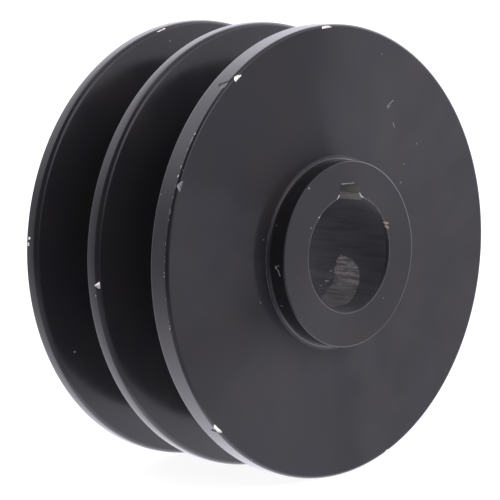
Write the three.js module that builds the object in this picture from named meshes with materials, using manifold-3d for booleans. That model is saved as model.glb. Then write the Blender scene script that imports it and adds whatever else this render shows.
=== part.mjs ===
// Two-groove V-belt pulley: a keyed hub sleeve that carries three turned flanges and, between them,
// two cores that make the bottoms of the belt grooves.
//
// Millimetres, +Z up. The pulley turns about the Y axis, its collar faces -Y and its keyway is at the
// top of the bore. The origin is on the axis, halfway along the hub. LatheGeometry spins an outline
// about Y, so every turned piece is made in place.

import * as THREE from "three";
import { mergeVertices } from "three/addons/utils/BufferGeometryUtils.js";
import Module from "manifold-3d";

// Driving dimensions.
const RIM_RADIUS = 38.75;
const GROOVE_PITCH = 15.565; // centre to centre of the two grooves
const GROOVE_OPENING = 12.865; // between the sharp corners, at the rim
const GROOVE_DEPTH = 12.25;
const GROOVE_HALF_ANGLE = THREE.MathUtils.degToRad(17);
const FRONT_RIM_WIDTH = 4.18; // the front flange is the thick one
const REAR_RIM_WIDTH = 2.66;

const BORE_RADIUS = 9.525; // takes a 3/4 in shaft
const KEYWAY_WIDTH = 4.7625; // takes a 3/16 in square key
const KEYWAY_DEPTH = 2.45; // above the top of the bore
const COLLAR_RADIUS = 15.875;
const COLLAR_PROJECTION = 3.59; // in front of the front flange
const SLEEVE_RADIUS = 14;
const FIT_GAP = 0.05; // radial, between the sleeve and what is stacked on it

// Edge treatments.
const RIM_EDGE_RADIUS = 0.6; // on the two outer edges of the pulley
const GROOVE_CORNER_RADIUS = 0.8;
const EDGE_STEPS = 3; // flats in each rounded edge
const BORE_CHAMFER = 0.47;
const COLLAR_CHAMFER = 0.15;
const COLLAR_FOOT_RADIUS = 0.8; // concave, where the collar meets the front flange
const COLLAR_FOOT_STEPS = 3;
const COLLAR_FOOT_LIP = 0.05;
const SLEEVE_END_CHAMFER = 0.3;

const SEGMENTS = 72; // round each turned piece, the same for all so that their facets line up
const CUTTER_OVERRUN = 1; // how far a cutter passes the surfaces that it cuts

// Stations along the axis, counted from the front face of the front flange.
const GROOVE_TAPER = GROOVE_DEPTH * Math.tan(GROOVE_HALF_ANGLE); // what each wall gains on the way down
const CORE_RADIUS = RIM_RADIUS - GROOVE_DEPTH;
const GROOVE_STARTS = [FRONT_RIM_WIDTH, FRONT_RIM_WIDTH + GROOVE_PITCH];
const PULLEY_WIDTH = GROOVE_STARTS[1] + GROOVE_OPENING + REAR_RIM_WIDTH;
const HUB_LENGTH = COLLAR_PROJECTION + PULLEY_WIDTH;
const FRONT_FACE_Y = COLLAR_PROJECTION - HUB_LENGTH / 2;

const wasm = await Module();
wasm.setup();

// The Y coordinate of a station.
function stationY(distance) {
  return FRONT_FACE_Y + distance;
}

// A corner of a turned outline: its radius, its Y, and how the corner is rounded. A rounding done in
// one step is a chamfer.
function corner(radius, y, rounding = 0, steps = 1) {
  return { point: new THREE.Vector2(radius, y), rounding, steps };
}

// The points that replace one corner: an arc that touches both of its sides.
function cornerPoints(before, here, after) {
  if (here.rounding === 0) return [here.point.clone()];
  const back = before.point.clone().sub(here.point).normalize();
  const ahead = after.point.clone().sub(here.point).normalize();
  const half = Math.acos(back.dot(ahead)) / 2;
  const start = back.clone().multiplyScalar(here.rounding / Math.tan(half)).add(here.point);
  const middle = back.clone().add(ahead).normalize();
  const centre = middle.multiplyScalar(here.rounding / Math.sin(half)).add(here.point);
  const sweep = (Math.PI - 2 * half) * Math.sign(ahead.cross(back));
  const points = [];
  for (let step = 0; step <= here.steps; step++) {
    points.push(start.clone().rotateAround(centre, (sweep * step) / here.steps));
  }
  return points;
}

// A ring turned from a closed outline of corners.
function turned(corners) {
  const points = corners.flatMap((here, i) => {
    const before = corners[(i + corners.length - 1) % corners.length];
    const after = corners[(i + 1) % corners.length];
    return cornerPoints(before, here, after);
  });
  points.push(points[0].clone());
  return new THREE.LatheGeometry(points, SEGMENTS);
}

// A three.js geometry as a solid that can be cut.
function solidOf(geometry) {
  const bare = geometry.index ? geometry.toNonIndexed() : geometry.clone();
  bare.deleteAttribute("normal");
  bare.deleteAttribute("uv");
  const merged = mergeVertices(bare);
  const vertProperties = merged.attributes.position.array;
  const triVerts = new Uint32Array(merged.index.array);
  return new wasm.Manifold(new wasm.Mesh({ numProp: 3, vertProperties, triVerts }));
}

// A solid back as a three.js geometry.
function geometryOf(solid) {
  const mesh = solid.getMesh();
  const geometry = new THREE.BufferGeometry();
  geometry.setAttribute("position", new THREE.BufferAttribute(mesh.vertProperties, 3));
  geometry.setIndex(new THREE.BufferAttribute(mesh.triVerts, 1));
  geometry.computeVertexNormals();
  return geometry;
}

// The slot that runs the whole length of the bore, at its top.
function keywayCutter() {
  const top = BORE_RADIUS + KEYWAY_DEPTH;
  const length = HUB_LENGTH + 2 * CUTTER_OVERRUN;
  const cutter = new THREE.BoxGeometry(KEYWAY_WIDTH, length, top);
  return cutter.translate(0, 0, top / 2);
}

// The hub: a collar in front, with a concave foot on the front flange, and the sleeve behind it.
function hubGeometry() {
  const front = stationY(-COLLAR_PROJECTION);
  const shoulder = stationY(0);
  const rear = stationY(PULLEY_WIDTH);
  const footRadius = COLLAR_RADIUS + COLLAR_FOOT_RADIUS + COLLAR_FOOT_LIP;
  const blank = turned([
    corner(BORE_RADIUS, front, BORE_CHAMFER),
    corner(COLLAR_RADIUS, front, COLLAR_CHAMFER),
    corner(COLLAR_RADIUS, shoulder - COLLAR_FOOT_LIP, COLLAR_FOOT_RADIUS, COLLAR_FOOT_STEPS),
    corner(footRadius, shoulder - COLLAR_FOOT_LIP),
    corner(footRadius, shoulder),
    corner(SLEEVE_RADIUS, shoulder),
    corner(SLEEVE_RADIUS, rear, SLEEVE_END_CHAMFER),
    corner(BORE_RADIUS, rear, BORE_CHAMFER),
  ]);
  return geometryOf(solidOf(blank).subtract(solidOf(keywayCutter())));
}

// A flange between two stations at the rim. A side that faces a groove thickens towards the middle
// along the groove's wall; a side that faces out is flat.
function flangeGeometry(rimFront, rimRear, frontFacesGroove, rearFacesGroove) {
  const inner = SLEEVE_RADIUS + FIT_GAP;
  const corners = [];
  if (frontFacesGroove) {
    const seat = stationY(rimFront - GROOVE_TAPER);
    corners.push(corner(inner, seat), corner(CORE_RADIUS, seat));
    corners.push(corner(RIM_RADIUS, stationY(rimFront), GROOVE_CORNER_RADIUS, EDGE_STEPS));
  } else {
    corners.push(corner(inner, stationY(rimFront)));
    corners.push(corner(RIM_RADIUS, stationY(rimFront), RIM_EDGE_RADIUS, EDGE_STEPS));
  }
  if (rearFacesGroove) {
    const seat = stationY(rimRear + GROOVE_TAPER);
    corners.push(corner(RIM_RADIUS, stationY(rimRear), GROOVE_CORNER_RADIUS, EDGE_STEPS));
    corners.push(corner(CORE_RADIUS, seat), corner(inner, seat));
  } else {
    corners.push(corner(RIM_RADIUS, stationY(rimRear), RIM_EDGE_RADIUS, EDGE_STEPS));
    corners.push(corner(inner, stationY(rimRear)));
  }
  return turned(corners);
}

// The ring between two flanges, whose outside is the bottom of a groove.
function coreGeometry(grooveStart) {
  const inner = SLEEVE_RADIUS + FIT_GAP;
  const front = stationY(grooveStart + GROOVE_TAPER);
  const rear = stationY(grooveStart + GROOVE_OPENING - GROOVE_TAPER);
  return turned([
    corner(inner, front),
    corner(CORE_RADIUS, front),
    corner(CORE_RADIUS, rear),
    corner(inner, rear),
  ]);
}

// Baked black coating over steel. The grooves keep a slightly duller coat than the outside.
function coating(colour, roughness) {
  return new THREE.MeshStandardMaterial({ color: colour, roughness, metalness: 0.1 });
}

const pulley = new THREE.Group();

function addPiece(name, geometry, material) {
  const piece = new THREE.Mesh(geometry, material);
  piece.name = name;
  pulley.add(piece);
}

const [frontGroove, rearGroove] = GROOVE_STARTS;
const frontFlange = flangeGeometry(0, frontGroove, false, true);
const centreFlange = flangeGeometry(frontGroove + GROOVE_OPENING, rearGroove, true, true);
const rearFlange = flangeGeometry(rearGroove + GROOVE_OPENING, PULLEY_WIDTH, true, false);

addPiece("hub", hubGeometry(), coating(0x2c2b30, 0.3));
addPiece("front_flange", frontFlange, coating(0x2a292e, 0.28));
addPiece("front_groove_core", coreGeometry(frontGroove), coating(0x1f1f23, 0.42));
addPiece("centre_flange", centreFlange, coating(0x28272c, 0.32));
addPiece("rear_groove_core", coreGeometry(rearGroove), coating(0x1f1f23, 0.42));
addPiece("rear_flange", rearFlange, coating(0x28272c, 0.32));

export default pulley;
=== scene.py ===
"""Looks of the two-groove V-belt pulley: black coating over turned steel, chipped on the rims.

Everything is in metres in the CAD frame: the pulley turns about Y, its collar faces -Y and its
keyway is at +Z. Angles round the pulley run from +X towards +Z, as seen from the collar side.
"""

import math
import random
from typing import NamedTuple

import bpy
import numpy as np
from mathutils import Matrix, Vector, noise


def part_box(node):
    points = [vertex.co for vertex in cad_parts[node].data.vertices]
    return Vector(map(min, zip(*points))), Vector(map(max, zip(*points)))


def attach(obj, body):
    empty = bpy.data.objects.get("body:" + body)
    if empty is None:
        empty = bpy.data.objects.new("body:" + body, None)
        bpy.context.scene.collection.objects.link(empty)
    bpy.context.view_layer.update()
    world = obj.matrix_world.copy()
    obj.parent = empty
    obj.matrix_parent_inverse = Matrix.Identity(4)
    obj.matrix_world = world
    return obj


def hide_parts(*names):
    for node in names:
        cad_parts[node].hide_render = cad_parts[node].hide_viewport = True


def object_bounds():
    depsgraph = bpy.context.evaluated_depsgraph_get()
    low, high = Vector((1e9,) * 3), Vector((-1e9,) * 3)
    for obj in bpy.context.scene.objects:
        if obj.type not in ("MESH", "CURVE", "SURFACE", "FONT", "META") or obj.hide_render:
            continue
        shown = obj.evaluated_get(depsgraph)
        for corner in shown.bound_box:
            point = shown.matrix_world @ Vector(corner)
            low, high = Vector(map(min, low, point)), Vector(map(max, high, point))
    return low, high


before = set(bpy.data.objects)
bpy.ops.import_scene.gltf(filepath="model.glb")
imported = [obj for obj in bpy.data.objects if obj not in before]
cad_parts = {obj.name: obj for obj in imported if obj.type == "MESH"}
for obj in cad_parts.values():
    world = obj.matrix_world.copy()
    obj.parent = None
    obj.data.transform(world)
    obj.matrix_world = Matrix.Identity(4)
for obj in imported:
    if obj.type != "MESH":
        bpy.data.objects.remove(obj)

CAD_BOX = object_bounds()
MM = 0.001

# ---------------------------------------------------------------- sizes that no box gives
GROOVE_HALF_ANGLE = math.radians(17)
GROOVE_CORNER_RADIUS = 0.8 * MM
NARROW_CORNER_RADIUS = 0.95 * MM  # on the front edge of the two narrow rims
GROOVE_ROOT_RADIUS = 0.6 * MM
CROWN = 0.07 * MM  # how far the middle of a narrow rim stands above its edges
CROWN_RADIUS = 6 * MM
RIM_EDGE_RADIUS = 0.6 * MM
SLEEVE_RADIUS = 14 * MM
FIT_GAP = 0.05 * MM
BORE_RADIUS = 9.525 * MM
BORE_CHAMFER = 0.47 * MM
CREASE_RADIUS = 0.07 * MM  # where the bore's chamfers end
COLLAR_RADIUS = 15.875 * MM
COLLAR_EDGE_RADIUS = 0.3 * MM
COLLAR_FOOT_RADIUS = 0.5 * MM  # concave, where the collar meets the front flange
FOOT_LIP = 0.09 * MM  # the foot ends in a thin lip on the flange
FOOT_LIP_RADIUS = 0.06 * MM
FOOT_EDGE_RADIUS = COLLAR_RADIUS + COLLAR_FOOT_RADIUS + 2 * FOOT_LIP_RADIUS
SLEEVE_END_RADIUS = 0.3 * MM
KEYWAY_WIDTH = 4.7625 * MM
KEYWAY_DEPTH = 2.45 * MM
MOUTH_RISE = 1.0 * MM  # the keyway's lower corners are broken by hand: how far up, down and out
MOUTH_DROP = 0.75 * MM
MOUTH_FLARE = 1.2 * MM
MOUTH_ROUGHNESS = 0.14 * MM
MOUTH_WAVINESS = 0.9  # bumps per mm along the broken corners
MOUTH_SEEDS = (3.1, 7.4)  # for the left and the right corner
CUTTER_OVERRUN = 1 * MM

# ---------------------------------------------------------------- fineness of the meshes
ARC_STEP = math.radians(7)  # between the rows of a rounded edge
STRAIGHT_STEP = 1.2 * MM  # between the rows of a straight stretch
BORE_STEP = 0.3 * MM  # the same on the hub, whose bore has a wide patch of bare metal
FINE_STEP = 0.12 * MM  # between rows and columns where marks are made
EDGE_FINE = 1.9 * MM  # how far the close rows reach beside a rim's edge
SCUFF_FINE = 2.6 * MM  # how far they reach beside the collar's edge, for the scuffs on its side
SUPPORT = 0.05 * MM  # from a rounded edge to the row that holds the stretch beside it flat
COARSE_TURN = math.radians(1)  # between columns
ANGLE_DIGITS = 7  # angles that agree to this many digits are one column
SHARP_ANGLE = math.radians(28)

FRONT_LOW, FRONT_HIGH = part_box("front_flange")
CENTRE_LOW, CENTRE_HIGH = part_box("centre_flange")
REAR_LOW, REAR_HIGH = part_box("rear_flange")
HUB_LOW, HUB_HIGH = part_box("hub")
RIM_RADIUS = FRONT_HIGH.x
CORE_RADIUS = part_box("front_groove_core")[1].x
TAPER = (RIM_RADIUS - CORE_RADIUS) * math.tan(GROOVE_HALF_ANGLE)


# ---------------------------------------------------------------- turned outlines
def corner(radius, y, rounding=0.0, fine=0.0):
    """A corner of an outline: its rounding, and how far beside it the rows stay close together."""
    return Vector((radius, y)), rounding, fine


def corner_arc(before, here, after, rounding):
    """The arc that replaces a corner, from the side that comes in to the side that goes out."""
    back = (before - here).normalized()
    ahead = (after - here).normalized()
    half = math.acos(max(-1.0, min(1.0, back.dot(ahead)))) / 2
    start = here + back * (rounding / math.tan(half))
    centre = here + (back + ahead).normalized() * (rounding / math.sin(half))
    sweep = math.copysign(math.pi - 2 * half, ahead.cross(back))
    steps = max(2, math.ceil(abs(sweep) / ARC_STEP))
    arm = start - centre
    arc = []
    for step in range(steps + 1):
        turn = sweep * step / steps
        cos, sin = math.cos(turn), math.sin(turn)
        arc.append(centre + Vector((arm.x * cos - arm.y * sin, arm.x * sin + arm.y * cos)))
    return arc


def stretch_stops(length, fine_start, fine_end, coarse_step):
    """Distances along a straight stretch, closer together near an end that is marked fine."""
    first = min(fine_start, length / 2)
    last = length - min(fine_end, length / 2)
    stops = []
    spans = ((0, first, FINE_STEP), (first, last, coarse_step), (last, length, FINE_STEP))
    for low, high, step in spans:
        count = max(1, math.ceil((high - low) / step))
        stops += [low + (high - low) * k / count for k in range(count) if high - low > SUPPORT]
    return stops + [length]


def outline(corners, coarse_step):
    """A closed outline with its corners rounded and its straight stretches divided."""
    runs = []
    for i, (here, rounding, _) in enumerate(corners):
        before = corners[i - 1][0]
        after = corners[(i + 1) % len(corners)][0]
        runs.append(corner_arc(before, here, after, rounding) if rounding else [here.copy()])
    points = []
    for i, run in enumerate(runs):
        points += run
        following = (i + 1) % len(runs)
        start, end = run[-1], runs[following][0]
        gap = (end - start).length
        if gap <= 3 * SUPPORT:
            continue
        along = (end - start) / gap
        stops = stretch_stops(gap - 2 * SUPPORT, corners[i][2], corners[following][2], coarse_step)
        points += [start + along * (SUPPORT + stop) for stop in stops]
    return points


def turn_angles(spans):
    """Angles round a piece: even steps, and finer ones in each (middle, half width, step) span."""
    full_turn = 2 * math.pi
    angles = {round(COARSE_TURN * k, ANGLE_DIGITS) for k in range(round(full_turn / COARSE_TURN))}
    for middle, half_width, step in spans:
        count = math.ceil(2 * half_width / step)
        for k in range(count + 1):
            angles.add(round((middle - half_width + step * k) % full_turn, ANGLE_DIGITS))
    closest = min([step for _, _, step in spans], default=COARSE_TURN) / 3
    ordered = sorted(angles)
    kept = [ordered[0]]
    for angle in ordered[1:]:
        if angle - kept[-1] > closest:
            kept.append(angle)
    return np.array(kept)


def add_mesh(name, places, faces):
    """A new object in the scene, from its vertices and faces."""
    mesh = bpy.data.meshes.new(name)
    mesh.from_pydata(places, [], faces)
    added = bpy.data.objects.new(name, mesh)
    bpy.context.scene.collection.objects.link(added)
    return added


def turned(name, corners, spans, coarse_step):
    """A closed ring made by turning an outline about Y."""
    points = np.array([tuple(p) for p in outline(corners, coarse_step)])
    angles = turn_angles(spans)
    rows, turns = len(points), len(angles)
    radius, y = points[:, 0], points[:, 1]
    x = np.outer(np.cos(angles), radius)
    z = np.outer(np.sin(angles), radius)
    places = np.stack([x, np.tile(y, (turns, 1)), z], -1).reshape(-1, 3)
    i = np.arange(turns)[:, None]
    j = np.arange(rows)[None, :]
    next_i, next_j = (i + 1) % turns, (j + 1) % rows
    quads = np.stack(
        [i * rows + j, i * rows + next_j, next_i * rows + next_j, next_i * rows + j], -1
    )
    return add_mesh(name, places.tolist(), quads.reshape(-1, 4).tolist())


def flange_corners(low, high, front_groove, rear_groove):
    """A flange between two Y positions at its middle, thinning along each groove's wall to the rim.

    A flange behind a groove is a narrow one, and its rim is crowned.
    """
    inner = SLEEVE_RADIUS + FIT_GAP
    edge_radius = RIM_RADIUS - (CROWN if front_groove else 0)
    rim_front = low + (TAPER if front_groove else 0)
    rim_rear = high - (TAPER if rear_groove else 0)
    corners = [corner(inner, low)]
    if front_groove:
        corners += [
            corner(CORE_RADIUS, low),
            corner(edge_radius, rim_front, NARROW_CORNER_RADIUS, EDGE_FINE),
            corner(RIM_RADIUS, (rim_front + rim_rear) / 2, CROWN_RADIUS, EDGE_FINE),
        ]
    else:
        corners += [corner(edge_radius, rim_front, RIM_EDGE_RADIUS, EDGE_FINE)]
    if rear_groove:
        corners += [
            corner(edge_radius, rim_rear, GROOVE_CORNER_RADIUS, EDGE_FINE),
            corner(CORE_RADIUS, high),
        ]
    else:
        corners += [corner(edge_radius, rim_rear, RIM_EDGE_RADIUS, EDGE_FINE)]
    return corners + [corner(inner, high)]


def core_corners(low, high):
    """The bottom of a groove. Its ends curve up onto the groove's walls."""
    inner = SLEEVE_RADIUS + FIT_GAP
    front, rear = Vector((CORE_RADIUS, low)), Vector((CORE_RADIUS, high))
    up_front = Vector((math.cos(GROOVE_HALF_ANGLE), -math.sin(GROOVE_HALF_ANGLE)))
    up_rear = Vector((math.cos(GROOVE_HALF_ANGLE), math.sin(GROOVE_HALF_ANGLE)))
    bends = corner_arc(front + up_front, front, rear, GROOVE_ROOT_RADIUS)
    bends += corner_arc(front, rear, rear + up_rear, GROOVE_ROOT_RADIUS)
    corners = [corner(inner, low), corner(CORE_RADIUS, low)]
    corners += [corner(point.x, point.y) for point in bends]
    return corners + [corner(CORE_RADIUS, high), corner(inner, high)]


def hub_corners():
    """The collar, its foot on the front flange and the sleeve, with a plain bore."""
    shoulder = FRONT_LOW.y
    return [
        corner(BORE_RADIUS, HUB_LOW.y + BORE_CHAMFER, CREASE_RADIUS, EDGE_FINE),
        corner(BORE_RADIUS + BORE_CHAMFER, HUB_LOW.y, CREASE_RADIUS, EDGE_FINE),
        corner(COLLAR_RADIUS, HUB_LOW.y, COLLAR_EDGE_RADIUS, SCUFF_FINE),
        corner(COLLAR_RADIUS, shoulder - FOOT_LIP, COLLAR_FOOT_RADIUS),
        corner(FOOT_EDGE_RADIUS, shoulder - FOOT_LIP, FOOT_LIP_RADIUS),
        corner(FOOT_EDGE_RADIUS, shoulder),
        corner(SLEEVE_RADIUS, shoulder),
        corner(SLEEVE_RADIUS, HUB_HIGH.y, SLEEVE_END_RADIUS),
        corner(BORE_RADIUS + BORE_CHAMFER, HUB_HIGH.y, CREASE_RADIUS),
        corner(BORE_RADIUS, HUB_HIGH.y - BORE_CHAMFER, CREASE_RADIUS),
    ]


# ---------------------------------------------------------------- the keyway
def keyway_cutter():
    """A bar longer than the hub, whose lower corners flare out unevenly along its length."""
    length = HUB_HIGH.y - HUB_LOW.y + 2 * CUTTER_OVERRUN
    stations = math.ceil(length / BORE_STEP)
    half = KEYWAY_WIDTH / 2
    top = BORE_RADIUS + KEYWAY_DEPTH
    mouth = math.sqrt(BORE_RADIUS**2 - half**2)
    places = []
    for k in range(stations + 1):
        y = HUB_LOW.y - CUTTER_OVERRUN + length * k / stations
        along = y / MM * MOUTH_WAVINESS
        rough = [noise.noise((along, seed, 0)) * MOUTH_ROUGHNESS for seed in MOUTH_SEEDS]
        left_out, right_out = (half + MOUTH_FLARE + r for r in rough)
        left_up, right_up = (mouth + MOUTH_RISE + r for r in rough)
        low = mouth - MOUTH_DROP
        ring = [
            (half, right_up), (half, top), (-half, top), (-half, left_up),
            (-left_out, low), (0, 0), (right_out, low),
        ]
        places += [(x, y, z) for x, z in ring]
    sides = len(ring)
    faces = [tuple(range(sides)), tuple(reversed(range(stations * sides, (stations + 1) * sides)))]
    for k in range(stations):
        for j in range(sides):
            here, beside = k * sides + j, k * sides + (j + 1) % sides
            faces.append((beside, here, here + sides, beside + sides))
    return add_mesh("keyway_cutter", places, faces)


def cut_keyway(hub):
    cutter = keyway_cutter()
    cut = hub.modifiers.new("keyway", "BOOLEAN")
    cut.operation = "DIFFERENCE"
    cut.solver = "EXACT"
    cut.object = cutter
    with bpy.context.temp_override(object=hub, active_object=hub, selected_objects=[hub]):
        bpy.ops.object.modifier_apply(modifier=cut.name)
    bpy.data.objects.remove(cutter)


# ---------------------------------------------------------------- wear
class Edge(NamedTuple):
    """A ring on the pulley where marks are made."""
    radius: float
    y: float
    inward: tuple  # (radial, y) direction into the metal


class Mark(NamedTuple):
    """A chip, nick or dent. Its outline is in mm: along the turn, then across the edge."""
    angle: float  # degrees round the pulley
    edge: Edge
    outline: list
    depth: float = 0.2 * MM
    bare: bool = True  # whether the coating is off
    tone: float = 1.0  # of the bare metal: 1 is bright, 0.5 grey, 0 dull brown, -0.5 rusty


# How far behind the collar's face the middle of each mark lies.
SCUFF_PLACE = 1.4 * MM
PATCH_PLACE = 7.6 * MM
FLAKES_PLACE = 12 * MM

FRONT_RIM = Edge(RIM_RADIUS, FRONT_LOW.y, (-1, 1))
FRONT_GROOVE_FRONT = Edge(RIM_RADIUS, FRONT_HIGH.y - TAPER, (-1, -1))
FRONT_GROOVE_REAR = Edge(RIM_RADIUS, CENTRE_LOW.y + TAPER, (-1, 1))
REAR_GROOVE_FRONT = Edge(RIM_RADIUS, CENTRE_HIGH.y - TAPER, (-1, -1))
REAR_GROOVE_REAR = Edge(RIM_RADIUS, REAR_LOW.y + TAPER, (-1, 1))
REAR_RIM = Edge(RIM_RADIUS, REAR_HIGH.y, (-1, -1))
COLLAR_SIDE = Edge(COLLAR_RADIUS, HUB_LOW.y + SCUFF_PLACE, (-1, 0))
BORE_MOUTH = Edge(BORE_RADIUS, HUB_LOW.y, (1, 1))
MOUTH_CREASE = Edge(BORE_RADIUS + BORE_CHAMFER, HUB_LOW.y, (1, 1))
FOOT_LINE = Edge(FOOT_EDGE_RADIUS, FRONT_LOW.y - FOOT_LIP, (-1, 1))
KEYWAY_TOP = Edge(BORE_RADIUS + KEYWAY_DEPTH, HUB_LOW.y, (0, 1))
HUB_FACE = Edge(BORE_RADIUS, HUB_LOW.y, (0, 1))
BORE_WALL = Edge(BORE_RADIUS, HUB_LOW.y + PATCH_PLACE, (1, 0))
BORE_DEEP = Edge(BORE_RADIUS, HUB_LOW.y + FLAKES_PLACE, (1, 0))

MARK_SLOPE = 0.8  # of the sides of a mark
LAND_SIDE = 0.7  # mm from the middle of a rounded rim edge to where the land begins
MARK_REACH = 2.6 * MM  # a mark leaves everything further than this from its edge alone
PATCH_REACH = 9 * MM  # the same for the patch in the bore
BARE_LIMIT = 0.5  # mm; the signed distance to bare metal is kept within this
TONE_REACH = 0.3  # mm; how far outside its outline a mark still sets the tone
WORN_WIDTH = 0.45  # mm; how far the wear spreads from a worn edge
HIGHLIGHT_LINE_WIDTH = 0.09  # mm; how far the coat is thin beside a sharp crest
FACE_THICKNESS = 0.05  # mm; how far a painted highlight line reaches beside its sharp edge
COLUMN_MARGIN = 0.25  # mm of close columns past each end of a mark

FRONT_FLANGE_MARKS = [
    Mark(91.8, FRONT_RIM, [(-0.9, -0.5), (1.65, -0.6), (1.4, -0.05), (0.0, 0.0)]),
    Mark(126.3, FRONT_RIM, [(-0.9, -0.78), (0.85, -0.85), (0.95, -0.4), (0.5, 0.12), (0.15, 0.08)]),
    Mark(159.4, FRONT_RIM, [(-1.5, -0.75), (0.55, -0.7), (-0.3, 0.4), (-0.6, 0.35)], tone=0.5),
    Mark(224.0, FRONT_RIM, [(-1.15, -0.25), (0.9, -0.5), (1.2, -0.35), (0.7, 0.35), (-0.75, 0.35)]),
    Mark(224.0, FRONT_RIM, [(-0.75, 0.35), (0.7, 0.35), (0.3, 2.0)], bare=False),
    Mark(129.6, FRONT_RIM, [(-0.7, 0.35), (0.8, 0.3), (1.2, 1.3), (0.3, 2.1), (-0.2, 1.2)],
         0.14 * MM, bare=False),
    Mark(290.3, FRONT_RIM, [(-0.4, -0.3), (0.4, -0.3), (0.3, 0.4), (-0.3, 0.3)]),
    Mark(350.4, FRONT_RIM, [(-0.2, -0.2), (0.2, -0.2), (0.0, 0.3)]),
]
CENTRE_FLANGE_MARKS = [
    Mark(185.2, FRONT_GROOVE_REAR, [(-0.65, -0.5), (0.65, -0.6), (0.35, 0.4), (0.0, 0.9)]),
]
REAR_FLANGE_MARKS = [
    Mark(104.2, REAR_GROOVE_REAR, [(-1.3, -0.35), (0.6, -0.5), (1.1, -0.25), (-1.1, -0.05)]),
    Mark(175.5, REAR_RIM, [(-0.25, -1.1), (0.2, -1.2), (0.25, -0.6), (-0.2, -0.5)]),
    Mark(177.0, REAR_RIM, [(-0.3, -0.9), (0.2, -1.0), (0.35, -0.4), (-0.2, -0.3)]),
]
HUB_MARKS = [
    Mark(184.6, COLLAR_SIDE, [(-0.65, 0.1), (-0.55, 0.65), (-0.1, 0.7), (0.05, 0.15)], 0.05 * MM),
    Mark(184.6, COLLAR_SIDE, [(-0.2, 0.3), (0.05, 0.2), (1.15, -0.3), (1.05, -0.55), (0.0, -0.15)],
         0.05 * MM),
    Mark(184.6, COLLAR_SIDE, [(-1.0, -0.15), (-0.5, -0.4), (-0.4, 0.05)], 0.05 * MM, tone=0.7),
    Mark(208.7, COLLAR_SIDE, [(-0.2, 0.8), (0.25, 0.8), (0.05, 1.3)], 0.05 * MM, tone=0.8),
    Mark(23.6, BORE_MOUTH,
         [(-0.75, 0.95), (-0.15, 0.25), (0.05, 0.0), (0.3, 0.1), (0.15, 0.5), (-0.3, 1.05)],
         0.06 * MM, tone=-0.5),
    Mark(23.6, BORE_MOUTH,
         [(0.1, 1.25), (0.25, 0.6), (0.55, 0.15), (1.0, 0.05), (0.85, 0.5), (0.4, 1.2)],
         0.06 * MM, tone=-0.5),
    Mark(137.3, BORE_MOUTH, [(-0.3, 0.1), (0.1, 0.0), (0.15, 0.6), (-0.15, 0.65)],
         0.05 * MM, tone=0.8),
    Mark(134.6, BORE_MOUTH, [(-0.15, 0.1), (0.15, 0.1), (0.0, 0.6)], 0.05 * MM, tone=0.8),
    Mark(150.7, HUB_FACE, [(-0.15, 1.0), (0.2, 1.05), (0.1, 1.25), (-0.1, 1.2)],
         0.03 * MM, tone=0.6),
    Mark(270.7, HUB_FACE, [(-0.25, 5.9), (0.3, 5.95), (0.2, 6.2), (-0.2, 6.2)],
         0.03 * MM, tone=0.7),
]
# Burrs that the file left where the keyway's broken corners meet the collar's face, and the bright
# line along the keyway's top.
BURRS = [
    Mark(106.7, HUB_FACE,
         [(-0.66, 0.98), (-0.42, 0.98), (0.2, 0.4), (0.75, 0.02), (0.5, -0.1), (0.0, 0.3)],
         0.02 * MM, tone=0.8),
    Mark(73.3, HUB_FACE,
         [(0.7, 1.05), (0.35, 1.1), (0.0, 0.7), (-0.65, 0.56), (-0.8, 0.3), (0.2, 0.2)],
         0.02 * MM, tone=0.7),
    Mark(90.0, KEYWAY_TOP, [(1.9, -0.1), (1.95, 0.3), (0.3, 0.14), (-1.2, 0.2), (-1.2, -0.1)],
         0.01 * MM, tone=0.5),
]
# Bare metal low on the wall of the bore. Across is towards the collar's face here.
BORE_PATCH = Mark(
    311.4, BORE_WALL,
    [(6.3, -3.4), (5.8, -0.7), (5.1, 0.4), (4.4, 1.4), (2.9, 2.3), (1.5, 2.9), (0.3, 3.1),
     (-0.9, 3.6), (-3.6, 4.2), (-6.3, 2.4), (-5.1, -0.2), (-3.0, -2.8), (-0.2, -3.3), (0.5, -2.9),
     (1.8, -3.2), (3.8, -4.2), (5.4, -4.1)],
    0.06 * MM, tone=0.0,
)


def nicks(edge, count, seed, low=0.0, high=360.0, offset=0.0, stretch=1.0):
    """Tiny scattered nicks along an edge, between two angles.

    The offset moves them across the edge, and a stretch above 1 makes them long and thin.
    """
    rng = random.Random(seed)
    scattered = []
    for _ in range(count):
        size = rng.uniform(0.05, 0.16)
        across = offset + rng.uniform(-0.25, 0.15) / stretch
        long, wide = size * stretch, size / stretch
        corners = [(long * rng.uniform(0.6, 1.6), across + wide * rng.uniform(0.5, 1.0))]
        corners += [(-long * rng.uniform(0.6, 1.6), across + wide * rng.uniform(0.3, 0.9))]
        corners += [(-long * rng.uniform(0.3, 1.0), across - wide * rng.uniform(0.5, 1.2))]
        corners += [(long * rng.uniform(0.3, 1.3), across - wide * rng.uniform(0.3, 1.0))]
        angle = rng.uniform(low, high)
        depth = rng.uniform(0.05, 0.12) * MM
        scattered.append(Mark(angle, edge, corners, depth, tone=rng.uniform(0.3, 1.0)))
    return scattered


FRONT_FLANGE_MARKS += nicks(FRONT_RIM, 46, 11, low=144.7, high=193.7, offset=LAND_SIDE, stretch=1.8)
FRONT_FLANGE_MARKS += nicks(FRONT_RIM, 8, 12) + nicks(FRONT_GROOVE_FRONT, 5, 13)
CENTRE_FLANGE_MARKS += nicks(FRONT_GROOVE_REAR, 8, 14) + nicks(REAR_GROOVE_FRONT, 8, 15)
REAR_FLANGE_MARKS += nicks(REAR_GROOVE_REAR, 7, 16) + nicks(REAR_RIM, 12, 17)


FLAKES_LOW, FLAKES_HIGH = 301.7, 331.7  # degrees; the span of the flakes beside the bore's patch
FLAKE_DEPTH = 0.12 * MM


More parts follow.
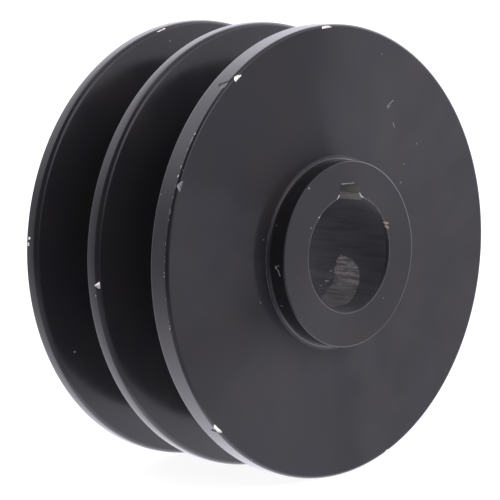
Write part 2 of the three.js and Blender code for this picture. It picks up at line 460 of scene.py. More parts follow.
def flakes(count, seed):
    """Small lifted flakes of coating at the deep side of the bore's patch."""
    rng = random.Random(seed)
    scattered = []
    for k in range(count):
        angle = FLAKES_LOW + (FLAKES_HIGH - FLAKES_LOW) * (k + rng.uniform(0.2, 0.8)) / count
        long, wide = rng.uniform(0.25, 0.7), rng.uniform(0.12, 0.3)
        across = rng.uniform(-0.9, 0.5)
        corners = [(-wide, across - long), (wide, across - long / 2)]
        corners += [(wide / 2, across + long), (-wide, across)]
        scattered.append(Mark(angle, BORE_DEEP, corners, FLAKE_DEPTH, tone=rng.choice((0.6, 0.9))))
    return scattered


def fine_spans(marks):
    """Where a piece needs close columns for its marks."""
    spans = []
    for mark in marks:
        reach = [u for u, _ in mark.outline]
        middle = math.radians(mark.angle) + (max(reach) + min(reach)) / 2 * MM / mark.edge.radius
        half_width = ((max(reach) - min(reach)) / 2 + COLUMN_MARGIN) * MM / mark.edge.radius
        spans.append((middle, half_width, FINE_STEP / mark.edge.radius))
    return spans


def inside_distance(u, v, outline):
    """Distance from points to the nearest side of an outline, positive inside it."""
    nearest = np.full(u.shape, np.inf)
    inside = np.zeros(u.shape, bool)
    corners = np.array(outline)
    for (start_u, start_v), (end_u, end_v) in zip(corners, np.roll(corners, -1, axis=0)):
        run_u, run_v = end_u - start_u, end_v - start_v
        share = ((u - start_u) * run_u + (v - start_v) * run_v) / (run_u**2 + run_v**2)
        share = np.clip(share, 0, 1)
        away = np.hypot(u - start_u - share * run_u, v - start_v - share * run_v)
        nearest = np.minimum(nearest, away)
        crosses = (start_v > v) != (end_v > v)
        if run_v:
            inside ^= crosses & (u < start_u + (v - start_v) * run_u / run_v)
    return np.where(inside, nearest, -nearest)


def beside_rings(radius, y, rings, width):
    """1 on the given rings, fading out with distance over a width. All are in mm but the rings."""
    level = np.zeros(radius.shape)
    for ring in rings:
        away = np.hypot(radius - ring.radius / MM, y - ring.y / MM)
        level = np.maximum(level, np.exp(-((away / width) ** 2)))
    return level


def add_marks(piece, marks, worn_rings, painted_highlight_rings):
    """Presses the marks into the mesh, and stores where metal is bare and where highlight lines are
    painted.
    """
    mesh = piece.data
    count = len(mesh.vertices)
    places = np.empty(count * 3)
    mesh.vertices.foreach_get("co", places)
    x, y, z = places.reshape(-1, 3).T / MM
    radius, angle = np.hypot(x, z), np.arctan2(z, x)
    bare = np.full(count, -BARE_LIMIT)
    tone = np.ones(count)
    new_radius, new_y = radius.copy(), y.copy()
    for mark in marks:
        edge_radius, edge_y = mark.edge.radius / MM, mark.edge.y / MM
        radial, along = mark.edge.inward
        reach = (PATCH_REACH if mark is BORE_PATCH else MARK_REACH) / MM
        thickness = reach if radial else FACE_THICKNESS
        near = (abs(radius - edge_radius) < reach) & (abs(y - edge_y) < thickness)
        turned_by = (angle - math.radians(mark.angle) + math.pi) % (2 * math.pi) - math.pi
        u = edge_radius * turned_by
        v = (radius - edge_radius) * along - (y - edge_y) * radial
        inside = np.where(near, inside_distance(u, v, mark.outline), -BARE_LIMIT)
        push = np.clip(inside * MARK_SLOPE, 0, mark.depth / MM) / math.hypot(radial, along)
        new_radius += radial * push
        new_y += along * push
        if mark.bare:
            tone = np.where(inside > np.maximum(bare, -TONE_REACH), mark.tone, tone)
            bare = np.maximum(bare, inside)
    scale = new_radius / np.maximum(radius, 1e-6)
    places = np.stack([x * scale, new_y, z * scale], -1) * MM
    mesh.vertices.foreach_set("co", places.ravel())
    edge = beside_rings(radius, y, worn_rings, WORN_WIDTH)
    # Painted highlight: how strongly thin light lines are painted along the given sharp edges.
    painted_highlight = beside_rings(radius, y, painted_highlight_rings, HIGHLIGHT_LINE_WIDTH)
    for name, values in (("bare", bare), ("tone", tone), ("edge", edge), ("painted_highlight", painted_highlight)):
        stored = mesh.attributes.new(name, "FLOAT", "POINT")
        stored.data.foreach_set("value", np.clip(values, -BARE_LIMIT, 1.0).astype(np.float32))
    mesh.update()


BORE, KEYWAY, CHAMFER = 1.0, 2.0, 3.0  # what the attribute "within" says of the hub's faces
END_FACE_TILT = 0.9  # a face whose normal is this much along the axis is on an end of the hub
CHAMFER_TILT = 0.5
BORE_MARGIN = 0.08 * MM  # deeper than any mark in the bore
KEYWAY_OUTSIDE = BORE_RADIUS + KEYWAY_DEPTH + 1 * MM  # further out than the keyway's corners


def mark_inside(hub):
    """Stores which faces are in the bore, in the keyway or on the bore's chamfers."""
    mesh = hub.data
    centre = np.empty(len(mesh.polygons) * 3)
    normal = np.empty(len(mesh.polygons) * 3)
    mesh.polygons.foreach_get("center", centre)
    mesh.polygons.foreach_get("normal", normal)
    x, _, z = centre.reshape(-1, 3).T
    radius = np.hypot(x, z)
    tilt = abs(normal.reshape(-1, 3)[:, 1])
    inner = tilt <= END_FACE_TILT
    in_bore = inner & (radius < BORE_RADIUS + BORE_MARGIN)
    in_keyway = inner & (radius > BORE_RADIUS) & (radius < KEYWAY_OUTSIDE)
    within = np.where(in_bore, BORE, np.where(in_keyway & (z > 0), KEYWAY, 0.0))
    within[inner & (tilt > CHAMFER_TILT) & (radius < BORE_RADIUS + BORE_CHAMFER)] = CHAMFER
    stored = mesh.attributes.new("within", "FLOAT", "FACE")
    stored.data.foreach_set("value", within.astype(np.float32))


def finish_shading(piece):
    mesh = piece.data
    mesh.shade_smooth()
    mesh.set_sharp_from_angle(angle=SHARP_ANGLE)


# ---------------------------------------------------------------- node helper
class Nodes:
    """Short calls that add nodes to one tree and link them."""

    def __init__(self, tree):
        self.tree = tree

    def add(self, kind, inputs=None, **settings):
        node = self.tree.nodes.new("ShaderNode" + kind)
        for key, value in settings.items():
            setattr(node, key, value)
        for key, value in (inputs or {}).items():
            self.feed(node.inputs[key], value)
        return node

    def feed(self, socket, value):
        if isinstance(value, bpy.types.NodeSocket):
            self.tree.links.new(value, socket)
        else:
            socket.default_value = value

    def math(self, operation, *values, clamp=False):
        inputs = dict(enumerate(values))
        return self.add("Math", inputs, operation=operation, use_clamp=clamp).outputs[0]

    def vector(self, operation, *values, out=0, **named):
        inputs = {**dict(enumerate(values)), **named}
        return self.add("VectorMath", inputs, operation=operation).outputs[out]

    def ramp(self, value, low, high, to_low=0.0, to_high=1.0):
        """Maps value smoothly from low..high to to_low..to_high, and holds it beyond both ends."""
        inputs = {"Value": value, "From Min": low, "From Max": high}
        inputs.update({"To Min": to_low, "To Max": to_high})
        return self.add("MapRange", inputs, interpolation_type="SMOOTHSTEP").outputs[0]

    def blend(self, amount, first, second):
        """Mixes two colours. The Mix node's sockets 6 and 7 are its two colours."""
        node = self.add("Mix", data_type="RGBA")
        for socket, value in ((0, amount), (6, first), (7, second)):
            self.feed(node.inputs[socket], value)
        return node.outputs[2]

    def attribute(self, name):
        return self.add("Attribute", attribute_name=name).outputs["Fac"]

    def noise(self, place, scale, detail=2.0, roughness=0.5):
        inputs = {"Vector": place, "Scale": scale, "Detail": detail, "Roughness": roughness}
        return self.add("TexNoise", inputs).outputs["Fac"]


def spot(nodes, direction, centre, half_angle, core_angle=0, flatness=1.0):
    """1 within the core angle of a direction, fading to 0 at the half angle, both in degrees.

    A flatness below 1 makes the spot taller.
    """
    squeeze = Vector((1, 1, flatness))
    flat = nodes.vector("NORMALIZE", nodes.vector("MULTIPLY", direction, tuple(squeeze)))
    centre = (Vector(centre) * squeeze).normalized()
    towards = nodes.vector("DOT_PRODUCT", flat, tuple(centre), out=1)
    nothing, full = (math.cos(math.radians(angle)) for angle in (half_angle, core_angle))
    return nodes.ramp(towards, nothing, full)


# ---------------------------------------------------------------- materials
COAT_BLACK = (0.0125, 0.0120, 0.0145, 1)
COAT_BROWNISH = (0.0165, 0.0132, 0.0130, 1)
COAT_BLUISH = (0.0115, 0.0115, 0.0175, 1)
BORE_FILM = (0.175, 0.172, 0.185, 1)
KEYWAY_FILM = (0.27, 0.27, 0.235, 1)
PAINTED_HIGHLIGHT_LINE = (0.10, 0.10, 0.112, 1)  # painted highlight, lightening the coat in thin lines along sharp edges
DUST = (0.27, 0.27, 0.285, 1)
BRIGHT_STEEL = (0.80, 0.77, 0.70, 1)
GREY_STEEL = (0.20, 0.20, 0.21, 1)
OLD_STEEL = (0.70, 0.645, 0.62, 1)
OLD_STEEL_DARK = (0.19, 0.175, 0.17, 1)
RUST = (0.23, 0.15, 0.095, 1)

# The size of the patterns, in lumps per mm.
RINGS_SCALE = 2.2  # of the lathe's rings
BLOTCHES_SCALE = 0.11
PEEL_SCALE = 0.8  # of the coat's orange peel
DUST_SCALE = 0.42
DRAWN_SCALE = (1.3, 0.12, 1.3)  # of the film in the bore, drawn out along the axis
STREAKS_SCALE = (1.6, 0.22, 1.6)  # of the tool marks on old steel
GRAIN_SCALE = 6.0
RAGGED_SCALE = 2.2  # of the ragged edges of bare marks
SPECKS_SCALE = 1.7  # of the bare specks on worn edges
STRAY_SCALE = 0.075  # of the straying of the fans' edges
CLOUD_SCALE = 0.17  # of the clouds over the fans
RAYS_SCALE = 7.0  # of the fine rays, in lumps per radian
RAYS_DRIFT = 0.012  # how much the rays change from the collar to the rim, in radians per mm

# How far the reliefs stand out.
PEEL_HEIGHT = 0.0022 * MM
DUST_HEIGHT = 0.02 * MM
STREAKS_HEIGHT = 0.05 * MM
GRAIN_HEIGHT = 0.02 * MM

# Walls of grooves and flat faces are told apart by how far their normals lie along the axis.
WALL_FROM, WALL_SURE = 0.85, 0.94
FACE_FROM, FACE_SURE = 0.965, 0.99

COAT_WEIGHT = 0.95
CHAMFER_DULLER = 0.5  # what the bore's chamfers lose of it
HUB_FACE_SHINE = 0.41  # the weight of the coat on the flat faces of the hub
FAN_SHINE = 0.585  # the same on the flanges, at full strength of the sheen
COAT_IOR = 1.42
UNDERCOAT_IOR = 1.08
FACE_UNDERCOAT_IOR = 1.27
UNDERCOAT_ROUGHNESS = 0.38
FILM_ROUGHNESS = 0.42
DUST_ROUGHNESS = 0.7
WALL_ROUGHER = 0.06  # what the walls of the grooves add to the roughness of the coat
FILM_MISSING = 0.6  # how much of the bore's film is off at its mouth
FILM_MOUTH, FILM_FULL = -19, -6  # mm along the axis: at the mouth, and where none is off
PATCH_DARK_FROM, PATCH_DARK_TO = -4.8, -8.0  # mm above the axis; old steel gets darker downwards
PATCH_DARKER = 0.75


def place_in_mm(nodes):
    return nodes.vector("SCALE", nodes.add("TexCoord").outputs["Object"], Scale=1 / MM)


def lathe_place(nodes, place):
    """Coordinates that are the same all round the axis, so noise on them gives turning lines."""
    split = nodes.add("SeparateXYZ", {0: place}).outputs
    sideways = nodes.math("POWER", split["X"], 2.0)
    upward = nodes.math("POWER", split["Z"], 2.0)
    radius = nodes.math("SQRT", nodes.math("ADD", sideways, upward))
    return nodes.add("CombineXYZ", {"X": radius, "Y": split["Y"]}).outputs[0]


DUST_LARGEST = 0.085  # radius of the largest grain, as a share of the distance between grains
DUST_LEFT_OUT = 0.62  # share of the grains


def dust_specks(nodes, place):
    """1 on a few small grains of dust, 0 elsewhere."""
    cells = nodes.add("TexVoronoi", {"Vector": place, "Scale": DUST_SCALE}).outputs
    colour = nodes.add("SeparateColor", {0: cells["Color"]}).outputs
    size = nodes.math("MULTIPLY", colour["Red"], DUST_LARGEST)
    grain = nodes.math("LESS_THAN", cells["Distance"], size)
    kept = nodes.math("GREATER_THAN", colour["Green"], DUST_LEFT_OUT)
    return nodes.math("MULTIPLY", grain, kept)


# Fans in which the turned face shines more: middle, half width and full-strength half width in
# degrees, and what the fan adds to the strength.
SHEEN_FANS = [(6.7, 92, 78, 0.65), (174.7, 26, 5, 0.47), (246.7, 44, 14, 0.31)]
SHEEN_LOW = 0.31  # between the fans
FAN_WANDER = 9.0  # mm, how far the edges of the fans stray from straight rays
COLLAR_GLOW = 1.12  # how much more the face shines just outside the collar
GLOW_FROM, GLOW_TO = 17, 25  # mm from the axis


def turning_sheen(nodes, place):
    """How strongly a turned face shines: in fans and in fine rays from the axis."""
    wander = {"Vector": place, "Scale": STRAY_SCALE, "Detail": 4.0}
    stray = nodes.add("TexNoise", wander).outputs["Color"]
    stray = nodes.vector("SUBTRACT", stray, (0.5, 0.5, 0.5))
    strayed = nodes.vector("ADD", place, nodes.vector("SCALE", stray, Scale=FAN_WANDER))
    ray = nodes.vector("NORMALIZE", nodes.vector("MULTIPLY", strayed, (1, 0, 1)))
    strength = SHEEN_LOW
    for middle, half_width, full_width, gain in SHEEN_FANS:
        centre = (math.cos(math.radians(middle)), 0, math.sin(math.radians(middle)))
        fan = spot(nodes, ray, centre, half_width, full_width)
        strength = nodes.math("MULTIPLY_ADD", fan, gain, strength)
    drift = nodes.vector("SCALE", place, Scale=RAYS_DRIFT)
    fine = nodes.noise(nodes.vector("ADD", ray, drift), RAYS_SCALE, 5.0, 0.62)
    cloudy = nodes.noise(place, CLOUD_SCALE, 5.0, 0.65)
    strength = nodes.math("MULTIPLY", strength, nodes.ramp(fine, 0.3, 0.7, 0.88, 1.1))
    strength = nodes.math("MULTIPLY", strength, nodes.ramp(cloudy, 0.32, 0.68, 0.87, 1.12))
    from_axis = nodes.vector("LENGTH", nodes.vector("MULTIPLY", place, (1, 0, 1)), out=1)
    glow = nodes.ramp(from_axis, GLOW_FROM, GLOW_TO, COLLAR_GLOW, 1.0)
    return nodes.math("MULTIPLY", strength, glow)


# Short scratches on the front face: both ends, in mm to the right of the axis and above it.
FACE_SCRATCHES = [
    ((13.3, 24.2), (14.9, 25.2)), ((13.4, 23.9), (14.0, 24.3)), ((14.8, 21.3), (15.2, 20.5)),
    ((20.8, 17.2), (21.0, 17.4)), ((17.6, 14.0), (17.8, 13.9)), ((16.7, 10.9), (16.9, 10.7)),
    ((11.9, 33.3), (12.1, 33.3)), ((-17.0, 3.7), (-16.9, 3.6)), ((-17.8, -6.7), (-17.7, -6.9)),
]
SCRATCH_WIDTH = 0.13  # mm, from the middle of a scratch to its faint edge
SCRATCH_STRENGTH = 0.75  # of the dust's colour in them


def scratches(nodes, place):
    """1 along the middle of each scratch on the front face, fading out beside it."""
    along = nodes.add("SeparateXYZ", {0: place}).outputs["Y"]
    on_front = nodes.math("LESS_THAN", along, FRONT_LOW.y / MM + SCRATCH_WIDTH)
    across_face = nodes.vector("MULTIPLY", place, (1, 0, 1))
    strongest = 0.0
    for (start_x, start_z), (end_x, end_z) in FACE_SCRATCHES:
        run = Vector((end_x - start_x, 0, end_z - start_z))
        from_start = nodes.vector("SUBTRACT", across_face, (start_x, 0, start_z))
        share = nodes.vector("DOT_PRODUCT", from_start, tuple(run), out=1)
        share = nodes.math("DIVIDE", share, run.length_squared, clamp=True)
        nearest = nodes.vector("SCALE", tuple(run), Scale=share)
        away = nodes.vector("DISTANCE", from_start, nearest, out=1)
        strongest = nodes.math("MAXIMUM", strongest, nodes.ramp(away, SCRATCH_WIDTH, 0.0))
    return nodes.math("MULTIPLY", on_front, strongest)


OLD_RAGGED, FRESH_RAGGED = 1.1, 0.24  # mm by which the edges of old and of fresh marks are ragged
BARE_FROM, BARE_SURE = -0.02, 0.04  # mm inside a mark's ragged edge
SPECK_FROM, SPECK_SURE = 0.66, 0.70  # levels of the noise on worn edges


def bare_mask(nodes, place):
    """1 where the coating is off: in the marks, and in specks on the worn edges."""
    freshness = nodes.math("ABSOLUTE", nodes.attribute("tone"))
    raggedness = nodes.ramp(freshness, 0.0, 0.3, OLD_RAGGED, FRESH_RAGGED)
    ragged = nodes.math("SUBTRACT", nodes.noise(place, RAGGED_SCALE, 5.0, 0.6), 0.5)
    ragged = nodes.math("MULTIPLY", ragged, raggedness)
    distance = nodes.math("ADD", nodes.attribute("bare"), ragged)
    in_mark = nodes.ramp(distance, BARE_FROM, BARE_SURE)
    edge = nodes.attribute("edge")
    worn = nodes.math("MULTIPLY", edge, nodes.noise(place, SPECKS_SCALE, 3.0, 0.6))
    on_edge = nodes.ramp(worn, SPECK_FROM, SPECK_SURE)
    return nodes.math("MAXIMUM", in_mark, on_edge)


def bare_steel(nodes, place, tone):
    """The metal under the coating: bright where it is fresh, dull and streaked where it is old."""
    streaks = nodes.noise(nodes.vector("MULTIPLY", place, STREAKS_SCALE), 1.0, 5.0, 0.65)
    grain = nodes.noise(place, GRAIN_SCALE, 3.0, 0.6)
    old = nodes.blend(nodes.ramp(streaks, 0.38, 0.62), OLD_STEEL_DARK, OLD_STEEL)
    above_axis = nodes.add("SeparateXYZ", {0: place}).outputs["Z"]
    darker = nodes.ramp(above_axis, PATCH_DARK_FROM, PATCH_DARK_TO, 0.0, PATCH_DARKER)
    old = nodes.blend(darker, old, OLD_STEEL_DARK)
    old = nodes.blend(nodes.ramp(tone, 0.0, -0.5), old, RUST)
    worn = nodes.blend(nodes.ramp(tone, 0.0, 0.5), old, GREY_STEEL)
    colour = nodes.blend(nodes.ramp(tone, 0.5, 1.0), worn, BRIGHT_STEEL)
    height = nodes.math("MULTIPLY", grain, GRAIN_HEIGHT)
    height = nodes.math("MULTIPLY_ADD", streaks, STREAKS_HEIGHT, height)
    normal = nodes.add("Bump", {"Height": height, "Distance": 1.0}).outputs[0]
    return nodes.add("BsdfPrincipled", {
        "Base Color": colour,
        "Metallic": nodes.ramp(tone, 0.0, 1.0, 0.35, 0.9),
        "Roughness": nodes.ramp(grain, 0.3, 0.7, 0.34, 0.55),
        "Normal": normal,
    }).outputs[0]


def coated_steel(name, roughness_about, turning_depth, with_bore=False, with_fans=False):
    """Black coating over turned steel. The lathe's rings show faintly through it.

    Its roughness is about the given one, a little less or more in blotches.
    """
    material = bpy.data.materials.new(name)
    material.use_nodes = True
    tree = material.node_tree
    nodes = Nodes(tree)
    place = place_in_mm(nodes)
    lathe = lathe_place(nodes, place)
    rings = nodes.noise(lathe, RINGS_SCALE, 4.0, 0.7)
    blotches = nodes.noise(place, BLOTCHES_SCALE, 4.0, 0.6)
    peel = nodes.noise(place, PEEL_SCALE, 2.0)
    dust = dust_specks(nodes, place)

    colour = nodes.blend(nodes.ramp(blotches, 0.48, 0.7), COAT_BLACK, COAT_BROWNISH)
    colour = nodes.blend(nodes.ramp(blotches, 0.48, 0.3), colour, COAT_BLUISH)
    roughness = nodes.ramp(blotches, 0.3, 0.7, roughness_about - 0.03, roughness_about + 0.05)
    if with_bore:
        within = nodes.attribute("within")
        inner, in_keyway, on_chamfer = (
            nodes.math("GREATER_THAN", within, kind - 0.5) for kind in (BORE, KEYWAY, CHAMFER)
        )
        drawn = nodes.noise(nodes.vector("MULTIPLY", place, DRAWN_SCALE), 1.0, 4.0, 0.6)
        along = nodes.add("SeparateXYZ", {0: place}).outputs["Y"]
        missing = nodes.ramp(along, FILM_MOUTH, FILM_FULL, FILM_MISSING, 0.0)
        film = nodes.blend(in_keyway, nodes.blend(missing, BORE_FILM, COAT_BLACK), KEYWAY_FILM)
        film = nodes.blend(nodes.ramp(drawn, 0.35, 0.7, 0.0, 0.4), film, COAT_BLACK)
        film = nodes.blend(on_chamfer, film, COAT_BLACK)
        colour = nodes.blend(inner, colour, film)
        roughness = nodes.add("Mix", {0: inner, 2: roughness, 3: FILM_ROUGHNESS}).outputs[0]
    # Painted highlight: the coat's colour is lightened in thin lines along the bore's mouth crease
    # and the collar's foot.
    painted_highlight = nodes.attribute("painted_highlight")
    painted_highlight_amount = nodes.math("MULTIPLY", painted_highlight, nodes.ramp(peel, 0.3, 0.6, 0.35, 0.9))
    colour = nodes.blend(painted_highlight_amount, colour, PAINTED_HIGHLIGHT_LINE)
    colour = nodes.blend(dust, colour, DUST)
    if with_fans:
        scratched = nodes.math("MULTIPLY", scratches(nodes, place), SCRATCH_STRENGTH)
        colour = nodes.blend(scratched, colour, DUST)
    roughness = nodes.math("MAXIMUM", roughness, nodes.math("MULTIPLY", dust, DUST_ROUGHNESS))

    facing = nodes.add("SeparateXYZ", {0: nodes.add("TexCoord").outputs["Normal"]}).outputs["Y"]
    flat = nodes.math("ABSOLUTE", facing)
    off_face = nodes.ramp(flat, FACE_FROM, FACE_SURE, 1.0, 0.0)
    on_wall = nodes.math("MULTIPLY", nodes.ramp(flat, WALL_FROM, WALL_SURE), off_face)
    roughness = nodes.math("MULTIPLY_ADD", on_wall, WALL_ROUGHER, roughness)
    relief = nodes.math("MULTIPLY", rings, turning_depth)
    relief = nodes.math("MULTIPLY_ADD", peel, PEEL_HEIGHT, relief)
    relief = nodes.math("MULTIPLY_ADD", dust, DUST_HEIGHT, relief)
    normal = nodes.add("Bump", {"Height": relief, "Distance": 1.0}).outputs[0]
    face_shine = HUB_FACE_SHINE
    coat_weight = COAT_WEIGHT
    if with_bore:
        coat_weight = nodes.math("MULTIPLY_ADD", on_chamfer, -CHAMFER_DULLER, coat_weight)
    if with_fans:
        face_shine = nodes.math("MULTIPLY", turning_sheen(nodes, place), FAN_SHINE)
    coat = tree.nodes["Principled BSDF"]
    tangent = nodes.add("Tangent", direction_type="RADIAL", axis="Y").outputs[0]
    for key, value in {
        "Base Color": colour,
        "Roughness": UNDERCOAT_ROUGHNESS,
        "IOR": nodes.ramp(flat, FACE_FROM, FACE_SURE, UNDERCOAT_IOR, FACE_UNDERCOAT_IOR),
        "Anisotropic": 0.9,
        "Anisotropic Rotation": 0.25,
        "Tangent": tangent,
        "Normal": normal,
        "Coat Weight": nodes.ramp(flat, FACE_FROM, FACE_SURE, coat_weight, face_shine),
        "Coat Roughness": roughness,
        "Coat IOR": COAT_IOR,
        "Coat Normal": normal,
    }.items():
        nodes.feed(coat.inputs[key], value)

    steel = bare_steel(nodes, place, nodes.attribute("tone"))
    bare = bare_mask(nodes, place)
    mixed = nodes.add("MixShader", {0: bare, 1: coat.outputs[0], 2: steel}).outputs[0]
    nodes.feed(tree.nodes["Material Output"].inputs["Surface"], mixed)
    return material


FLANGE_COAT = coated_steel("flange_coat", 0.12, 0.0006 * MM, with_fans=True)
GROOVE_COAT = coated_steel("groove_coat", 0.16, 0.0005 * MM)
HUB_COAT = coated_steel("hub_coat", 0.14, 0.0005 * MM, with_bore=True)


# ---------------------------------------------------------------- the pieces
def add_piece(
    name, node, material, corners, marks=(), worn=(), highlight_line_rings=(), coarse_step=STRAIGHT_STEP
):
    """Turns, marks and coats a piece. It replaces a node."""
    piece = turned(name, corners, fine_spans(marks), coarse_step)
    if node == "hub":
        cut_keyway(piece)
        mark_inside(piece)
    add_marks(piece, marks, worn, highlight_line_rings)
    finish_shading(piece)
    piece.data.materials.append(material)
    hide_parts(node)
    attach(piece, "root")


add_piece(
    "hub_body", "hub", HUB_COAT,
    hub_corners(), HUB_MARKS + BURRS + [BORE_PATCH] + flakes(11, 21),
    # painted highlight lines go along the bore's mouth crease and the collar's foot
    [BORE_MOUTH], [MOUTH_CREASE, FOOT_LINE], BORE_STEP,
)
add_piece(
    "front_flange_disc", "front_flange", FLANGE_COAT,
    flange_corners(FRONT_LOW.y, FRONT_HIGH.y, False, True),
    FRONT_FLANGE_MARKS, [FRONT_RIM, FRONT_GROOVE_FRONT],
)
add_piece(
    "centre_flange_disc", "centre_flange", FLANGE_COAT,
    flange_corners(CENTRE_LOW.y, CENTRE_HIGH.y, True, True),
    CENTRE_FLANGE_MARKS, [FRONT_GROOVE_REAR, REAR_GROOVE_FRONT],
)
add_piece(
    "rear_flange_disc", "rear_flange", FLANGE_COAT,
    flange_corners(REAR_LOW.y, REAR_HIGH.y, True, False),
    REAR_FLANGE_MARKS, [REAR_GROOVE_REAR, REAR_RIM],
)
for side in ("front", "rear"):
    low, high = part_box(f"{side}_groove_core")
    add_piece(
        f"{side}_groove_floor", f"{side}_groove_core", GROOVE_COAT,
        core_corners(low.y, high.y),
    )


# ---------------------------------------------------------------- camera
VIEW_AZIMUTH = math.radians(-44.66)
VIEW_ELEVATION = math.radians(6.48)
VIEW_DISTANCE = 459.22 * MM
AIM_LEFT = 21.091 * MM  # from a point on the axis, before the pulley, to the middle of the picture
AIM_UP = 1.2138 * MM
AIM_FRONT = 9.651 * MM  # how far that point is in front of the front face
LENS = 197.34
SENSOR = 36.0
KEYWAY_LEAN = math.radians(-0.45)  # how far the pulley is rolled clockwise in the picture

right = Vector((math.cos(VIEW_AZIMUTH), math.sin(VIEW_AZIMUTH), 0))
ahead = Vector((
    -math.sin(VIEW_AZIMUTH) * math.cos(VIEW_ELEVATION),
    math.cos(VIEW_AZIMUTH) * math.cos(VIEW_ELEVATION),
    -math.sin(VIEW_ELEVATION),
))
up = right.cross(ahead)
axis_point = Vector((0, FRONT_LOW.y - AIM_FRONT, 0))
eye = axis_point - right * AIM_LEFT + up * AIM_UP - ahead * VIEW_DISTANCE
turn = Matrix((right, up, -ahead)).transposed().to_4x4()
placed = Matrix.Translation(eye) @ turn
# The frame keeps the keyway at the top, so the camera rolls about the pulley's axis instead.
placed = Matrix.Rotation(-KEYWAY_LEAN, 4, "Y") @ placed

camera = bpy.data.objects.new("camera", bpy.data.cameras.new("camera"))
camera.data.lens = LENS
camera.data.sensor_width = SENSOR
camera.data.clip_start = 0.01
camera.data.clip_end = 20
camera.matrix_world = placed
bpy.context.scene.collection.objects.link(camera)
bpy.context.scene.camera = camera

# ---------------------------------------------------------------- the light tent
BACKDROP_WHITE = 1.25  # what the camera sees behind the pulley
TENT_TINT = (0.975, 0.955, 1.06, 1)
TENT_HORIZON = 0.88
TENT_TOP = 3.1
TENT_RISE = 0.12  # the height at which the wall starts to get brighter
TENT_FLOOR = 2.7
ROOF_FROM, ROOF_TO = 0.6, 0.88  # the heights between which the roof gets dimmer
ROOF_DIM = 0.35  # what is left of the light at the zenith
# The tent is open round the camera and to its left: dark above, with a lit floor below.
OPENING_CENTRE = (-0.96, -0.26, 0.08)
OPENING_HALF_ANGLE = 61
OPENING_CORE_ANGLE = 34
OPENING_FLATNESS = 0.4
OPENING_ABOVE = 0.16
OPENING_BELOW = 0.85
OPENING_FLOOR_FROM, OPENING_FLOOR_TO = -0.55, -0.1  # heights: all floor, no floor
# Soft lamps behind the tent's wall: direction, half angle in degrees, brightness.
LAMPS = [((0.05, -0.92, 0.40), 26, 0.9), ((0.98, -0.1, 0.15), 34, 2.6), ((0.62, 0.6, 0.5), 55, 0.5)]
# A dark cloth in front of the collar, below the horizon, and how much of the light it takes.
CLOTH_CENTRE = (-0.35, -0.85, -0.40)
CLOTH_HALF_ANGLE = 39
CLOTH_CORE_ANGLE = 14
CLOTH_SHADE = 0.7


def tent_light(nodes, direction):
    """Brightness of the tent in a direction: dim at the horizon, brighter up, down and at lamps.

    Heights are those of the direction's tip: -1 straight down, 1 straight up.
    """
    height = nodes.add("SeparateXYZ", {0: direction}).outputs["Z"]
    upward = nodes.ramp(height, TENT_RISE, 1.0, 0.0, TENT_TOP - TENT_HORIZON)
    depth = nodes.math("MULTIPLY", height, -1.0)
    downward = nodes.ramp(depth, 0.0, 1.0, 0.0, TENT_FLOOR - TENT_HORIZON)
    light = nodes.math("ADD", nodes.math("ADD", upward, downward), TENT_HORIZON)
    light = nodes.math("MULTIPLY", light, nodes.ramp(height, ROOF_FROM, ROOF_TO, 1.0, ROOF_DIM))
    for centre, half_angle, brightness in LAMPS:
        lamp = spot(nodes, direction, centre, half_angle)
        light = nodes.math("MULTIPLY_ADD", lamp, brightness, light)
    cloth = spot(nodes, direction, CLOTH_CENTRE, CLOTH_HALF_ANGLE, CLOTH_CORE_ANGLE)
    light = nodes.math("MULTIPLY", light, nodes.math("MULTIPLY_ADD", cloth, -CLOTH_SHADE, 1.0))
    opening = spot(
        nodes, direction, OPENING_CENTRE, OPENING_HALF_ANGLE, OPENING_CORE_ANGLE, OPENING_FLATNESS
    )
    beyond = nodes.ramp(height, OPENING_FLOOR_FROM, OPENING_FLOOR_TO, OPENING_BELOW, OPENING_ABOVE)
    return nodes.add("Mix", {0: opening, 2: light, 3: beyond}).outputs[0]


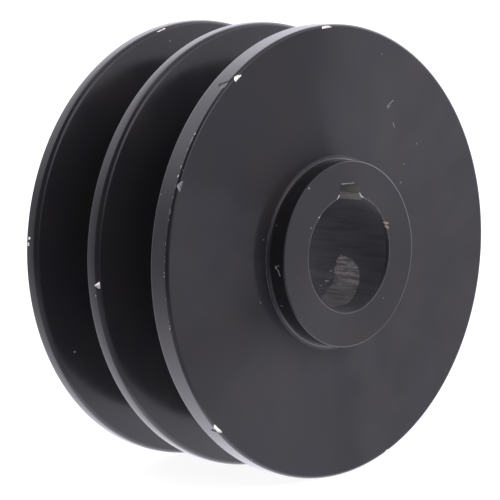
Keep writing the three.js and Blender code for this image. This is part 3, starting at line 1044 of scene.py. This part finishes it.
def build_world():
    world = bpy.data.worlds.new("light_tent")
    bpy.context.scene.world = world
    world.use_nodes = True
    nodes = Nodes(world.node_tree)
    background = world.node_tree.nodes["Background"]
    direction = nodes.add("TexCoord").outputs["Generated"]
    light = tent_light(nodes, direction)
    seen = nodes.add("LightPath").outputs["Is Camera Ray"]
    strength = nodes.add("Mix", {0: seen, 2: light, 3: BACKDROP_WHITE}).outputs[0]
    nodes.feed(background.inputs["Color"], nodes.blend(seen, TENT_TINT, (1, 1, 1, 1)))
    nodes.feed(background.inputs["Strength"], strength)


FLOOR_GLOW_SEEN = 0.9  # what the camera sees of the light from below
FLOOR_WHITE = 0.3
FLOOR_ROUGHNESS = 0.9
FLOOR_REACH = 2.0  # metres from the middle to its sides
FLOOR_GAP = 0.05 * MM  # under the pulley


def build_floor():
    """A pale floor that glows like the tent. The camera sees only a faint shadow on it."""
    z = CAD_BOX[0].z - FLOOR_GAP
    sides = ((-1, -1), (1, -1), (1, 1), (-1, 1))
    corners = [(x * FLOOR_REACH, y * FLOOR_REACH, z) for x, y in sides]
    floor = add_mesh("floor", corners, [(0, 1, 2, 3)])
    material = bpy.data.materials.new("floor_white")
    material.use_nodes = True
    nodes = Nodes(material.node_tree)
    shader = material.node_tree.nodes["Principled BSDF"]
    nodes.feed(shader.inputs["Base Color"], (FLOOR_WHITE, FLOOR_WHITE, FLOOR_WHITE, 1))
    nodes.feed(shader.inputs["Roughness"], FLOOR_ROUGHNESS)
    nodes.feed(shader.inputs["Emission Color"], (1, 1, 1, 1))
    nodes.feed(shader.inputs["Emission Strength"], FLOOR_GLOW_SEEN)
    towards = nodes.vector("SCALE", nodes.add("NewGeometry").outputs["Incoming"], Scale=-1.0)
    light = tent_light(nodes, towards)
    glow = nodes.add("Emission", {"Color": TENT_TINT, "Strength": light}).outputs[0]
    seen = nodes.add("LightPath").outputs["Is Camera Ray"]
    mixed = nodes.add("MixShader", {0: seen, 1: glow, 2: shader.outputs[0]}).outputs[0]
    nodes.feed(material.node_tree.nodes["Material Output"].inputs["Surface"], mixed)
    floor.data.materials.append(material)


build_world()
build_floor()

STRAY_LIGHT = 0.0026  # what the bright surroundings add to the blacks, through the lens
view = bpy.context.scene.view_settings
view.view_transform = "Standard"
view.use_curve_mapping = True
view.curve_mapping.black_level = (-STRAY_LIGHT, -STRAY_LIGHT, -STRAY_LIGHT)
view.curve_mapping.update()
